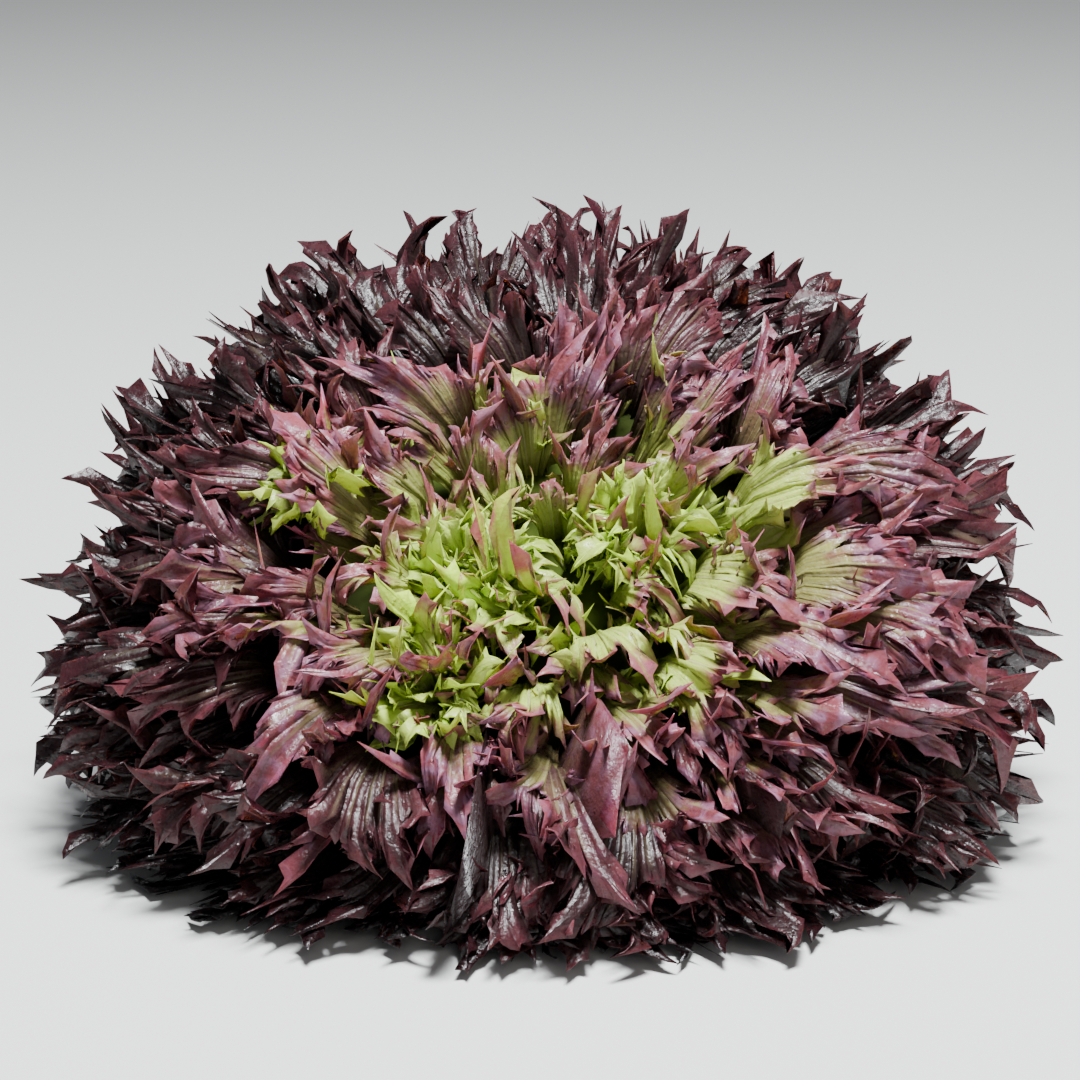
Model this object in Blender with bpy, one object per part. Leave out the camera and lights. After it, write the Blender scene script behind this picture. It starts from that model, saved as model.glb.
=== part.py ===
# A loose-leaf head of red incised lettuce, tilted on its side as it lies on a board.
#
# The head is a flattened ball of leaves round a short stem. Its leaves stand in a
# spiral on one axis, which leans forward (towards -Y) from the vertical, and the
# lowest of them are pressed flat by the board. Each leaf ends in a fan of pointed
# lobes, the outer ones long and dark, the heart's small and green. Lengths are in
# metres and angles in radians. A pair of numbers is the range of a seeded draw.

import math
import random

import bmesh
import bpy
from mathutils import Matrix, Vector

# Driving sizes of the head
HEAD_RADIUS = 0.146  # from the axis to the lobe tips at the widest
HEAD_HALF_HEIGHT = 0.078  # from the widest plane to the tips, along the axis
HEART_DIP = 0.010  # how far the heart lies below the tips round it
DIP_SPREAD = 0.42  # radians from the axis over which the dip fades
SQUARENESS = 2.3  # 2 is an ellipse in profile, more is boxier
AXIS_LEAN = math.radians(38)  # of the axis, from the vertical towards -Y
CENTRE_HEIGHT = 0.046  # of the ball's centre above the board
CENTRE_BACK = 0.001  # of the ball's centre, along Y, which puts the origin in the middle

# Where leaves stand
GOLDEN_ANGLE = math.pi * (3 - math.sqrt(5))
LAST_LEAF = math.radians(118)  # how far from the axis the lowest leaves stand
HEART_CROWDING = 0.66  # under 0.5 would thin the heart out, more crowds it
NEAREST_LEAF = 0.04  # radians from the axis
POLAR_STRAY = 0.03  # how far a leaf strays from its place in the spiral
AROUND_STRAY = 0.1
ROOT_DEPTH = 0.60  # share of the ball's size at which the blades start
CORE_DEPTH = 0.66  # share of the ball's size that the dense core fills

# How a leaf bends
LEAN_HEART = 0.010  # how far the tips stand out over their feet, away from the heart
LEAN_OUTER = 0.032
FULL_LEAN = math.radians(50)  # how far from the axis the leaves lean their most
LEAN_SHARE = (0.6, 1.35)
TIP_SWAY = 0.09
TIP_TURN = 0.28  # usual turn of a tip about the upright, off the straight way out
TIP_LEVEL = (0.93, 1.02)  # share of the ball's size that a tip reaches
RISE = (0.45, 0.65)  # how long a leaf stands upright, in leaf lengths
ROLL = 0.25
WIDTH = (0.85, 1.15)
CUP = (-0.10, 0.15)

# Blades and their lobes
FAN_BREADTH = 0.022  # the breadth of a fan of no length
FAN_GROWTH = 0.55  # how much broader it gets with each length
BLADE_THICKNESS = 0.0018  # at the middle of the blade
MARGIN_THICKNESS = 0.0009  # at the notches and the foot of the blade
TIP_THICKNESS = 0.0006
MIDDLE_ALONG = 0.42  # where the blade is thickest, as a share of its length
FAN_SPREAD = math.radians(64)  # of the outermost veins, from the midrib
FOOT_SPREAD = 0.30  # share of the fan's spread that the veins have at the foot
FOOT_WIDTH = 0.10  # half width of the blade at the foot, in leaf lengths
LOBE_COUNTS = (3, 4, 4, 4, 5)
LOBE_STRAY = 0.06
SIDE_LOBES_SHORTER = 0.22
LOBE_REACH = (0.86, 1.06)
LOBE_LIFT = (-0.12, 0.22)
NOTCH_REACH = (0.58, 0.70)
NOTCH_LIFT = 0.06

# Wrapper leaves, which run from the stem along the underside to the rim
WRAPPER_COUNT = 9
WRAPPER_STRAY = 0.2  # in spaces between two of them
WRAPPER_FOOT = (2.85, 0.72)  # radians from the axis, and share of the ball's size
WRAPPER_BEND = (2.35, 1.02)
WRAPPER_RIM = (1.75, 2.0)
WRAPPER_TIP_LEVEL = 0.98
WRAPPER_ROLL = 0.1
WRAPPER_WIDTH = (0.75, 0.95)
WRAPPER_CUP = (0.1, 0.3)
WRAPPER_LOBES = 4

# Loose leaves, which hang to the board behind the head on either side of the stem
DROOP_COUNT = 8
DROOP_FIRST = math.radians(24)  # from straight back
DROOP_LAST = math.radians(84)
DROOP_STRAY = 0.06
DROOP_FOOT = (0.030, 0.034)  # out from the ball's centre, and above the board
DROOP_BEND = 0.070
DROOP_BEND_HEIGHT = (0.020, 0.040)
DROOP_REACH = (0.092, 0.112)
DROOP_TIP_HEIGHT = 0.003
DROOP_ROLL = 0.15
DROOP_WIDTH = (0.8, 1.0)
DROOP_CUP = (-0.1, 0.1)
DROOP_LOBES = 4

# What the head rests on
LEAF_CLEARANCE = 0.0015  # the lowest lobes stay this far above the board
PRESSED_HEIGHT = 0.020  # leaves that would reach lower than this are pressed flatter
PAD_SIDES = 6
PAD_RADIUS_X = 0.056  # half width of the pressed leaves that carry the head
PAD_RADIUS_Y = 0.048
PAD_FORWARD = 0.010  # of the pad's centre, from the ball's centre towards -Y
PAD_TOP = 0.028
PAD_TOP_SHARE = 0.9  # size of its top, in sizes of its foot

# Stem
STEM_RADIUS = 0.0165
STEM_END = 0.043  # from the ball's centre down the axis to the cut
STEM_TOP = 0.026
STEM_STEPS = 16
STEM_COLOUR = (0.62, 0.60, 0.40)
STEM_ROUGHNESS = 0.55

# The core and the parting lines between whorls
CORE_RINGS = 9
CORE_STEPS = 16
PARTING_BEND = 0.55  # where a parting line bends outwards, in its leaves' lengths
PARTING_STEPS = 5
PARTING_DEPTH = 0.4  # where it starts on the axis, in heights of its leaves' feet
PARTING_DROP = 0.012
PARTING_BEYOND = 2.0  # how far it runs on past the tips
ZONE_STEPS = 20
FAR = 3 * HEAD_RADIUS  # well outside the head
BLADE_MARGIN = 0.0016  # from the middle of a blade to a parting line
GAP = 0.0003  # left between neighbouring pieces

LEAF_SEED = 1000  # factors that give each kind of leaf seeds of its own
WRAPPER_SEED = 7000
DROOP_SEED = 9000
MOST_DOUBLED_EDGES = 200
TINY = 1e-6

# Whorls from the heart down: name, leaves, seed of their draws, colour and roughness
WHORLS = (
    ("heart_leaves", 26, 2, (0.42, 0.55, 0.10), 0.45),
    ("middle_leaves", 46, 12, (0.28, 0.13, 0.12), 0.42),
    ("outer_leaves", 62, 16, (0.12, 0.03, 0.04), 0.38),
    ("lowest_leaves", 38, 20, (0.04, 0.014, 0.022), 0.32),
)


def head_to_world():
    """The matrix that leans the head's own axis, +Z, forward and lifts it off the board."""
    lean = Matrix.Rotation(AXIS_LEAN, 4, "X")
    return Matrix.Translation((0, CENTRE_BACK, CENTRE_HEIGHT)) @ lean


def ball_point(polar, around, share=1.0):
    """A point of the flattened, slightly squared ball that the tips reach. polar is 0 at the heart."""
    dip = HEART_DIP * math.exp(-((polar / DIP_SPREAD) ** 2))
    power = 2 / SQUARENESS
    across = share * HEAD_RADIUS * math.sin(polar) ** power
    height = share * (HEAD_HALF_HEIGHT - dip) * math.copysign(abs(math.cos(polar)) ** power, math.cos(polar))
    return Vector((across * math.cos(around), across * math.sin(around), height))


def ball_normal(polar, around):
    across = math.sin(polar) / HEAD_RADIUS
    height = math.cos(polar) / HEAD_HALF_HEIGHT
    return Vector((across * math.cos(around), across * math.sin(around), height)).normalized()


def leaf_polar(number):
    """How far from the axis leaf number stands, closer to its neighbours in the heart."""
    total = sum(whorl[1] for whorl in WHORLS)
    return LAST_LEAF * ((number + 0.5) / total) ** HEART_CROWDING


def turn_for(polar, distance):
    """The change in polar that moves a point this distance over the ball."""
    rate = math.hypot(HEAD_RADIUS * math.cos(polar), HEAD_HALF_HEIGHT * math.sin(polar))
    return distance / rate


def tip_lean(polar):
    """How far the tips of leaves at this polar stand out over their feet."""
    return LEAN_HEART + (LEAN_OUTER - LEAN_HEART) * min(1.0, polar / FULL_LEAN)


def stray(draw, most):
    return draw.uniform(-most, most)


def leaf_plan(number, seed):
    """Everything that shapes one leaf: the curve of its midrib, and its lobes."""
    draw = random.Random(seed * LEAF_SEED + number)
    polar = max(NEAREST_LEAF, leaf_polar(number) + stray(draw, POLAR_STRAY))
    around = number * GOLDEN_ANGLE + stray(draw, AROUND_STRAY)
    sway = stray(draw, TIP_SWAY)
    tip_polar = polar + turn_for(polar, tip_lean(polar) * draw.uniform(*LEAN_SHARE))
    foot = ball_point(polar, around, ROOT_DEPTH)
    tip = ball_point(tip_polar, around + sway, draw.uniform(*TIP_LEVEL))
    upright = ball_normal(polar, around)
    bend = foot + draw.uniform(*RISE) * (tip - foot).length * upright
    turned = Matrix.Rotation(draw.gauss(0, TIP_TURN), 3, upright) @ (tip - bend)
    plan = {
        "around": around,
        "foot": foot,
        "bend": bend,
        "tip": bend + turned,
        "roll": stray(draw, ROLL),
        "width": draw.uniform(*WIDTH),
        "cup": draw.uniform(*CUP),
    }
    plan["tips"], plan["notches"] = lobe_plan(draw, draw.choice(LOBE_COUNTS))
    return plan


def lobe_plan(draw, lobes):
    """The ends of a fan's lobes and the notches between them: column, share of the length, and lift."""
    tips = []
    for lobe in range(lobes):
        column = -1 + (2 * lobe + 1) / lobes + stray(draw, LOBE_STRAY)
        reach = (1.0 - SIDE_LOBES_SHORTER * abs(column)) * draw.uniform(*LOBE_REACH)
        tips.append((column, reach, draw.uniform(*LOBE_LIFT)))
    notches = []
    for left, right in zip(tips, tips[1:]):
        notches.append(((left[0] + right[0]) / 2, draw.uniform(*NOTCH_REACH), stray(draw, NOTCH_LIFT)))
    return tips, notches


def wrapper_plan(number, seed):
    """One of the leaves that run from the stem along the underside and end at the head's rim."""
    draw = random.Random(seed * WRAPPER_SEED + number)
    around = 2 * math.pi * (number + stray(draw, WRAPPER_STRAY)) / WRAPPER_COUNT
    rim = draw.uniform(*WRAPPER_RIM)
    foot_polar, foot_level = WRAPPER_FOOT
    bend_polar, bend_level = WRAPPER_BEND
    plan = {
        "around": around,
        "foot": ball_point(foot_polar, around, foot_level),
        "bend": ball_point(bend_polar, around, bend_level),
        "tip": ball_point(rim, around + stray(draw, TIP_SWAY), WRAPPER_TIP_LEVEL),
        "roll": stray(draw, WRAPPER_ROLL),
        "width": draw.uniform(*WRAPPER_WIDTH),
        "cup": draw.uniform(*WRAPPER_CUP),
    }
    plan["tips"], plan["notches"] = lobe_plan(draw, WRAPPER_LOBES)
    return plan


def drooping_plan(number, seed):
    """One of the loose leaves behind the stem, which hang to the board on either side of it."""
    draw = random.Random(seed * DROOP_SEED + number)
    side = -1 if number % 2 else 1
    step = number // 2 / (DROOP_COUNT / 2 - 1)
    around = math.pi / 2 + side * (DROOP_FIRST + step * (DROOP_LAST - DROOP_FIRST) + stray(draw, DROOP_STRAY))
    into_head = head_to_world().inverted()

    def at(reach, height):
        return into_head @ Vector((reach * math.cos(around), CENTRE_BACK + reach * math.sin(around), height))

    plan = {
        "around": around,
        "foot": at(*DROOP_FOOT),
        "bend": at(DROOP_BEND, draw.uniform(*DROOP_BEND_HEIGHT)),
        "tip": at(draw.uniform(*DROOP_REACH), DROOP_TIP_HEIGHT),
        "roll": stray(draw, DROOP_ROLL),
        "width": draw.uniform(*DROOP_WIDTH),
        "cup": draw.uniform(*DROOP_CUP),
    }
    plan["tips"], plan["notches"] = lobe_plan(draw, DROOP_LOBES)
    return plan


def vein_point(plan, column, along):
    """The flat place of a point along a vein: x across the leaf and y up it, in leaf lengths."""
    turn = FAN_SPREAD * column * plan["width"]
    start = turn * FOOT_SPREAD
    rate = turn - start
    foot = FOOT_WIDTH * column
    if abs(rate) < TINY:
        return foot, along
    end = start + rate * along
    return (
        foot + (math.cos(start) - math.cos(end)) / rate,
        (math.sin(end) - math.sin(start)) / rate,
    )


def blade_point(plan, column, along, lift):
    """A point halfway through the bent blade, and the way its upper face looks. lift raises a lobe."""
    x, y = vein_point(plan, column, along)
    foot, bend, tip = plan["foot"], plan["bend"], plan["tip"]
    wide = FAN_BREADTH + FAN_GROWTH * (tip - foot).length
    middle = foot * (1 - y) ** 2 + bend * (2 * y * (1 - y)) + tip * y * y
    forward = ((bend - foot) * (1 - y) + (tip - bend) * y).normalized()
    around = Vector((-math.sin(plan["around"]), math.cos(plan["around"]), 0))
    across = (around - around.dot(forward) * forward).normalized()
    face = forward.cross(across)
    roll = plan["roll"] * y
    side = math.cos(roll) * across + math.sin(roll) * face
    face = math.cos(roll) * face - math.sin(roll) * across
    raised = lift + plan["cup"] * x * x
    return middle + wide * (x * side + raised * face), face


def held_off(point, line, side):
    """Moves a point to its own side of a parting line: side 1 is the heart's, -1 the stem's."""
    across, height = math.hypot(point.x, point.y), point.z
    nearest = None
    for (r0, z0), (r1, z1) in zip(line, line[1:]):
        run, climb = r1 - r0, z1 - z0
        size = run * run + climb * climb
        share = min(1.0, max(0.0, ((across - r0) * run + (height - z0) * climb) / size))
        near_r, near_z = r0 + share * run, z0 + share * climb
        away = math.hypot(across - near_r, height - near_z)
        if nearest is None or away < nearest[0]:
            reach = math.sqrt(size)
            nearest = (away, near_r, near_z, -climb / reach, run / reach)
    away, near_r, near_z, normal_r, normal_z = nearest
    inside = side * ((across - near_r) * normal_r + (height - near_z) * normal_z)
    if inside >= BLADE_MARGIN:
        return point
    new_across = max(0.0, near_r + side * BLADE_MARGIN * normal_r)
    new_height = near_z + side * BLADE_MARGIN * normal_z
    scale = new_across / max(across, TINY)
    return Vector((point.x * scale, point.y * scale, new_height))


def clear_of_board(point):
    """Presses a low point in world space up, the more the lower it is, to keep it off the board."""
    lowest = LEAF_CLEARANCE + BLADE_THICKNESS / 2
    above = point.z - lowest
    if above < PRESSED_HEIGHT:
        above = PRESSED_HEIGHT * math.exp((above - PRESSED_HEIGHT) / PRESSED_HEIGHT)
    return Vector((point.x, point.y, lowest + above))


def add_leaf(shell, plan, place, lines):
    """One closed blade, from pairs of points at its foot, lobe tips, notches and middle."""
    rim = [(-1.0, 0.0, 0.0, MARGIN_THICKNESS)]
    for lobe, tip in enumerate(plan["tips"]):
        rim.append((*tip, TIP_THICKNESS))
        if lobe < len(plan["notches"]):
            rim.append((*plan["notches"][lobe], MARGIN_THICKNESS))
    rim.append((1.0, 0.0, 0.0, MARGIN_THICKNESS))

    def pair(column, along, lift, thickness):
        point, face = blade_point(plan, column, along, lift)
        if along > 0:
            for line, side in lines:
                point = held_off(point, line, side)
        point = clear_of_board(place @ point)
        face = place.to_3x3() @ face
        face *= thickness / 2
        return shell.verts.new(point + face), shell.verts.new(point - face)

    faces = [pair(*corner) for corner in rim]
    top, bottom = pair(0.0, MIDDLE_ALONG, 0.0, BLADE_THICKNESS)
    for (upper, lower), (next_upper, next_lower) in zip(faces, faces[1:] + faces[:1]):
        shell.faces.new((top, next_upper, upper))
        shell.faces.new((bottom, lower, next_lower))
        shell.faces.new((upper, next_upper, lower))
        shell.faces.new((next_upper, next_lower, lower))


def mesh_object(name, shell):
    bmesh.ops.recalc_face_normals(shell, faces=shell.faces[:])
    mesh = bpy.data.meshes.new(name)
    shell.to_mesh(mesh)
    shell.free()
    made = bpy.data.objects.new(name, mesh)
    bpy.context.scene.collection.objects.link(made)
    return made


def plain_material(name, colour, roughness):
    made = bpy.data.materials.new(name)
    made.use_nodes = True
    shader = made.node_tree.nodes["Principled BSDF"]
    shader.inputs["Base Color"].default_value = (*colour, 1.0)
    shader.inputs["Roughness"].default_value = roughness
    shader.inputs["Metallic"].default_value = 0.0
    return made


def turned_solid(name, profile, steps):
    """A solid turned round the head's axis from (radius, height) points, first and last on the axis."""
    shell = bmesh.new()
    rings = []
    for radius, height in profile:
        if radius < TINY:
            rings.append([shell.verts.new((0, 0, height))])
            continue
        rings.append(
            [
                shell.verts.new(
                    (
                        radius * math.cos(2 * math.pi * step / steps),
                        radius * math.sin(2 * math.pi * step / steps),
                        height,
                    )
                )
                for step in range(steps)
            ]
        )
    for lower, upper in zip(rings, rings[1:]):
        for step in range(steps):
            after = (step + 1) % steps
            if len(lower) == 1:
                shell.faces.new((lower[0], upper[step], upper[after]))
            elif len(upper) == 1:
                shell.faces.new((lower[step], upper[0], lower[after]))
            else:
                shell.faces.new((lower[step], upper[step], upper[after], lower[after]))
    return mesh_object(name, shell)


def parting_line(polar, shift):
    """The flared surface that parts two whorls, as (radius, height) points from the axis out."""
    foot = ball_point(polar, 0.0, ROOT_DEPTH)
    tip = ball_point(polar + turn_for(polar, tip_lean(polar)), 0.0)
    bend = foot + PARTING_BEND * (tip - foot).length * ball_normal(polar, 0.0)
    points = [(0.0, PARTING_DEPTH * foot.z - PARTING_DROP + shift)]
    for step in range(PARTING_STEPS + 1):
        y = step / PARTING_STEPS
        place = foot * (1 - y) ** 2 + bend * (2 * y * (1 - y)) + tip * y * y
        points.append((place.x, place.z + shift))
    beyond = tip + PARTING_BEYOND * (tip - bend)
    points.append((beyond.x, beyond.z + shift))
    return points


def zone_solid(name, upper, lower):
    """The space between two parting lines, or beyond one, closed well outside the head."""
    profile = []
    if lower is None:
        profile.append((0.0, -FAR))
        profile.append((FAR, -FAR))
    else:
        profile.extend(lower)
        profile.append((FAR, lower[-1][1]))
    if upper is None:
        profile.append((FAR, FAR))
        profile.append((0.0, FAR))
    else:
        profile.append((FAR, upper[-1][1]))
        profile.extend(reversed(upper))
    return turned_solid(name, profile, ZONE_STEPS)


def core_solid(name):
    """The dense inside of the head, which the leaves stand out of."""
    profile = []
    for ring in range(CORE_RINGS + 1):
        polar = math.pi * (1 - ring / CORE_RINGS)
        point = ball_point(polar, 0.0, CORE_DEPTH)
        profile.append((abs(point.x) if 0 < ring < CORE_RINGS else 0.0, point.z))
    return turned_solid(name, profile, CORE_STEPS)


def put(made, matrix):
    made.data.transform(matrix)
    return made


def board_space():
    """The room over the board, as a box."""
    shell = bmesh.new()
    bmesh.ops.create_cube(shell, size=2 * FAR)
    return put(mesh_object("board_space", shell), Matrix.Translation((0, 0, FAR + LEAF_CLEARANCE - GAP)))


def pad_solid():
    """The leaves pressed flat under the head, as one six-sided foot that carries it."""
    shell = bmesh.new()
    rings = []
    for height, share in ((0.0, 1.0), (PAD_TOP, PAD_TOP_SHARE)):
        ring = []
        for side in range(PAD_SIDES):
            turn = 2 * math.pi * side / PAD_SIDES
            x = PAD_RADIUS_X * share * math.cos(turn)
            y = CENTRE_BACK - PAD_FORWARD + PAD_RADIUS_Y * share * math.sin(turn)
            ring.append(shell.verts.new((x, y, height)))
        rings.append(ring)
    bmesh.ops.contextual_create(shell, geom=rings[0])
    bmesh.ops.contextual_create(shell, geom=rings[1])
    for side in range(PAD_SIDES):
        after = (side + 1) % PAD_SIDES
        shell.faces.new((rings[0][side], rings[0][after], rings[1][after], rings[1][side]))
    return mesh_object("pressed_pad", shell)


def boolean(target, operation, operand):
    """Applies one Boolean with an object or a collection, and removes what it used."""
    modifier = target.modifiers.new(operation.title(), "BOOLEAN")
    modifier.operation = operation
    modifier.solver = "MANIFOLD"  # the exact solver leaves open edges where many thin blades cross
    if isinstance(operand, bpy.types.Collection):
        modifier.operand_type = "COLLECTION"
        modifier.collection = operand
    else:
        modifier.object = operand
    graph = bpy.context.evaluated_depsgraph_get()
    made = bpy.data.meshes.new_from_object(target.evaluated_get(graph))
    target.modifiers.clear()
    old = target.data
    target.data = made
    bpy.data.meshes.remove(old)
    used = list(operand.objects) if isinstance(operand, bpy.types.Collection) else [operand]
    for helper in used:
        bpy.data.objects.remove(helper)


def corner_off(face, edge):
    return next(vertex for vertex in face.verts if vertex not in edge.verts)


def part_doubled_edge(shell, edge):
    """Gives an edge that four triangles share back to two of them, by turning the flattest pair's edge."""
    first, second = edge.verts
    forward = {loop.face: loop.vert is first for loop in edge.link_loops}
    choices = []
    for one in edge.link_faces:
        for other in edge.link_faces:
            if not forward[one] or forward[other]:
                continue
            near, far = corner_off(one, edge), corner_off(other, edge)
            volume = abs((second.co - first.co).cross(near.co - first.co).dot(far.co - first.co))
            taken = near is not far and shell.edges.get((near, far))
            choices.append((bool(taken), volume, len(choices), one, other, near, far))
    if not choices:
        return
    one, other, near, far = min(choices)[3:]
    shell.faces.remove(one)
    shell.faces.remove(other)
    if near is not far:
        shell.faces.new((first, far, near))
        shell.faces.new((second, near, far))


def part_doubled_edges(shell):
    """Clears the edges where a Boolean folded a sliver flat, so that two triangles meet at every edge."""
    bmesh.ops.triangulate(shell, faces=shell.faces[:])
    for _ in range(MOST_DOUBLED_EDGES):
        doubled = next((edge for edge in shell.edges if len(edge.link_faces) > 2), None)
        if doubled is None:
            break
        part_doubled_edge(shell, doubled)
    loose = [edge for edge in shell.edges if not edge.link_faces]
    bmesh.ops.delete(shell, geom=loose, context="EDGES")


def keep_largest_piece(target):
    """Drops the loose scraps that a cut leaves, and the walls of sealed hollows."""
    shell = bmesh.new()
    shell.from_mesh(target.data)
    part_doubled_edges(shell)
    unseen = set(shell.faces)
    groups = []
    while unseen:
        stack = [unseen.pop()]
        group = []
        while stack:
            face = stack.pop()
            group.append(face)
            for edge in face.edges:
                if len(edge.link_faces) != 2:
                    continue
                for other in edge.link_faces:
                    if other in unseen:
                        unseen.remove(other)
                        stack.append(other)
        groups.append(group)
    groups.sort(key=len, reverse=True)
    for group in groups[1:]:
        bmesh.ops.delete(shell, geom=group, context="FACES")
    shell.to_mesh(target.data)
    shell.free()


def whorl(name, plans, zone, lines, extras=(), cutters=()):
    """One node: the leaves of a colour, joined to their share of the core and cut to their zone."""
    place = head_to_world()
    body = put(core_solid(name), place)
    body.name = name
    leaves = bpy.data.collections.new(name + "_leaves")
    bpy.context.scene.collection.children.link(leaves)
    for number, plan in enumerate(plans):
        shell = bmesh.new()
        add_leaf(shell, plan, place, lines)
        leaf = mesh_object(f"{name}_leaf_{number}", shell)
        bpy.context.scene.collection.objects.unlink(leaf)
        leaves.objects.link(leaf)
    boolean(body, "UNION", leaves)
    bpy.data.collections.remove(leaves)
    boolean(body, "INTERSECT", board_space())
    for extra in extras:
        boolean(body, "UNION", extra)
    boolean(body, "INTERSECT", put(zone, place))
    for cutter in cutters:
        boolean(body, "DIFFERENCE", cutter)
    keep_largest_piece(body)
    return body


def stem_butt(material):
    """The short cut stem under the head, in a hollow of the lowest leaves."""
    profile = [(0.0, -STEM_END), (STEM_RADIUS, -STEM_END), (STEM_RADIUS, -STEM_TOP), (0.0, -STEM_TOP)]
    stem = put(turned_solid("stem_butt", profile, STEM_STEPS), head_to_world())
    stem.data.materials.append(material)
    return stem


def stem_hollow():
    """Room for the stem, a gap wider than it."""
    radius, top = STEM_RADIUS + GAP, -STEM_TOP + GAP
    profile = [(0.0, -FAR), (radius, -FAR), (radius, top), (0.0, top)]
    return put(turned_solid("stem_hollow", profile, STEM_STEPS), head_to_world())


def build_whorl(index):
    """One whorl by its row in WHORLS. The last also has the wrapper leaves, the pad and the hollow."""
    name, count, seed, colour, roughness = WHORLS[index]
    first = sum(whorl[1] for whorl in WHORLS[:index])
    last = index == len(WHORLS) - 1
    plans = [leaf_plan(number, seed) for number in range(first, first + count)]
    if last:
        plans += [wrapper_plan(number, seed) for number in range(WRAPPER_COUNT)]
        plans += [drooping_plan(number, seed) for number in range(DROOP_COUNT)]
    upper = parting_line(leaf_polar(first - 0.5), -GAP / 2) if index else None
    lower = None if last else parting_line(leaf_polar(first + count - 0.5), GAP / 2)
    lines = [(line, side) for line, side in ((upper, -1), (lower, 1)) if line]
    extras = [pad_solid()] if last else []
    cutters = [stem_hollow()] if last else []
    made = whorl(name, plans, zone_solid(name + "_zone", upper, lower), lines, extras, cutters)
    made.data.materials.clear()
    made.data.materials.append(plain_material(name, colour, roughness))
    return made


def build():
    for old in list(bpy.data.objects):
        bpy.data.objects.remove(old)
    for index in range(len(WHORLS)):
        build_whorl(index)
    stem_butt(plain_material("stem_butt", STEM_COLOUR, STEM_ROUGHNESS))
    for made in bpy.context.scene.objects:
        print(made.name, len(made.data.polygons), "triangles")


build()
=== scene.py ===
# %% [markdown]
# # A head of red incised lettuce
#
# The collision model gives the head's size and place: five plain solids for the heart, middle, outer and
# lowest leaves and for the cut stem. This scene replaces the four leaf solids with thin leaves that follow
# the same rule of growth, and gives them and the stem the colours of the real plant. First the frame is
# loaded and the size of each of its parts is printed.

# %% Load the frame
import math
import random

import bpy
import numpy as np
from mathutils import Matrix, Vector


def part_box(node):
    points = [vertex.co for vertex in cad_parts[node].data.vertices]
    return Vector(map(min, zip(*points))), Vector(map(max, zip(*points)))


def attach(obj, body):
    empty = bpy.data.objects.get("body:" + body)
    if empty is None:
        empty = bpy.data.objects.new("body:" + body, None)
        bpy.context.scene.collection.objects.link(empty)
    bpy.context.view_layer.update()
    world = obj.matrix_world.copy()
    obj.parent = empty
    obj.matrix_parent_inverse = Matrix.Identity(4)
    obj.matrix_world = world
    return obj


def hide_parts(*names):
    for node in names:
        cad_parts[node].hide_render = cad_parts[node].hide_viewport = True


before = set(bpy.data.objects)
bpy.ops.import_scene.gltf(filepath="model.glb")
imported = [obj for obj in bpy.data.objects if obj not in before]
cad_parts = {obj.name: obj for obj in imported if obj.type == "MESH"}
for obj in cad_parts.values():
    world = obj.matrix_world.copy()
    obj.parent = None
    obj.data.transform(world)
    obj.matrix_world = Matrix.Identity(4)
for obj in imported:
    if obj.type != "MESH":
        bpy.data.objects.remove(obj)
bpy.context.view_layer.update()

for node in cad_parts:
    low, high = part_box(node)
    print(node, [round(1000 * (b - a)) for a, b in zip(low, high)], "mm")

# %% [markdown]
# ## Camera, floor and light
#
# The head is seen from a little above, through a long lens, which keeps its outline round. A pale floor
# runs out of sight. One large soft light hangs over the head and a little in front of it, so that the
# leaves shade each other and the sides fall off to dark, and a weak one opens the shade in front. Small
# hard lights would give every leaf a sharp shadow, which isn't how leaves look on an overcast day.

# %% Aim the camera
VIEW_TARGET = Vector((-0.001, -0.01, 0.081))
VIEW_DISTANCE = 0.93
VIEW_ELEVATION = math.radians(16)
VIEW_ANGLE = math.radians(18.3)

eye = VIEW_TARGET + VIEW_DISTANCE * Vector((0, -math.cos(VIEW_ELEVATION), math.sin(VIEW_ELEVATION)))
lens = bpy.data.cameras.new("camera")
lens.lens = lens.sensor_width / (2 * math.tan(VIEW_ANGLE / 2))
camera = bpy.data.objects.new("camera", lens)
camera.location = eye
camera.rotation_euler = (VIEW_TARGET - eye).to_track_quat("-Z", "Y").to_euler()
bpy.context.scene.collection.objects.link(camera)
bpy.context.scene.camera = camera
print("camera at", [round(value, 3) for value in eye])

# %% Lay the floor
FLOOR_REACH = 8
FLOOR_GREY = (0.72, 0.71, 0.69, 1)

corners = [(x * FLOOR_REACH, y * FLOOR_REACH, 0) for x, y in ((-1, -1), (1, -1), (1, 1), (-1, 1))]
floor_mesh = bpy.data.meshes.new("floor")
floor_mesh.from_pydata(corners, [], [(0, 1, 2, 3)])
floor = bpy.data.objects.new("floor", floor_mesh)
bpy.context.scene.collection.objects.link(floor)
floor_paint = bpy.data.materials.new("floor_paint")
floor_paint.use_nodes = True
floor_shader = floor_paint.node_tree.nodes["Principled BSDF"]
floor_shader.inputs["Base Color"].default_value = FLOOR_GREY
floor_shader.inputs["Roughness"].default_value = 0.8
floor_mesh.materials.append(floor_paint)
print("floor", 2 * FLOOR_REACH, "m wide")

# %% Hang the lights
LIGHT_AIM = Vector((0, 0, 0.08))
LIGHTS = (
    # name, place, size, watts, colour
    ("sky", Vector((0.10, -0.12, 1.5)), 0.45, 82, (0.93, 0.97, 1.0)),
    ("front", Vector((0.5, -1.4, 0.9)), 1.0, 4, (1.0, 0.98, 0.95)),
)
SURROUNDINGS = (0.80, 0.86, 0.93, 1)

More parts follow.
